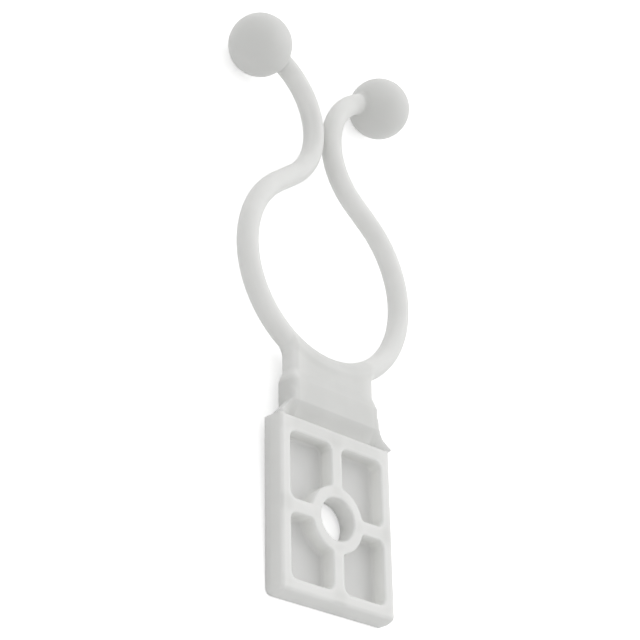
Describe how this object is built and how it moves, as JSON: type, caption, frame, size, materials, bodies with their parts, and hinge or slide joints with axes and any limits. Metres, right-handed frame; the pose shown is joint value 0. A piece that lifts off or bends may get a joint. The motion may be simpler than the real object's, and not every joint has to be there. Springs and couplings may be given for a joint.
{
  "type": "twist lock cable clip",
  "caption": "Screw-mount cable clip with a cored base plate and an open round loop whose springy horns with ball grips are twisted round each other to lock a cable bundle.",
  "frame": {"origin": "axis of the screw hole at the plate's flat back face", "axes": "+Z from the flat back through the plate to its cored front; +Y from the plate along the neck to the loop and the horns; X across the clip"},
  "size_m": [0.0244, 0.0628, 0.0067],
  "materials": {
    "clip": "natural nylon, satin, slightly milky"
  },
  "bodies": {
    "root": {"clip": "clip"}
  },
  "joints": []
}
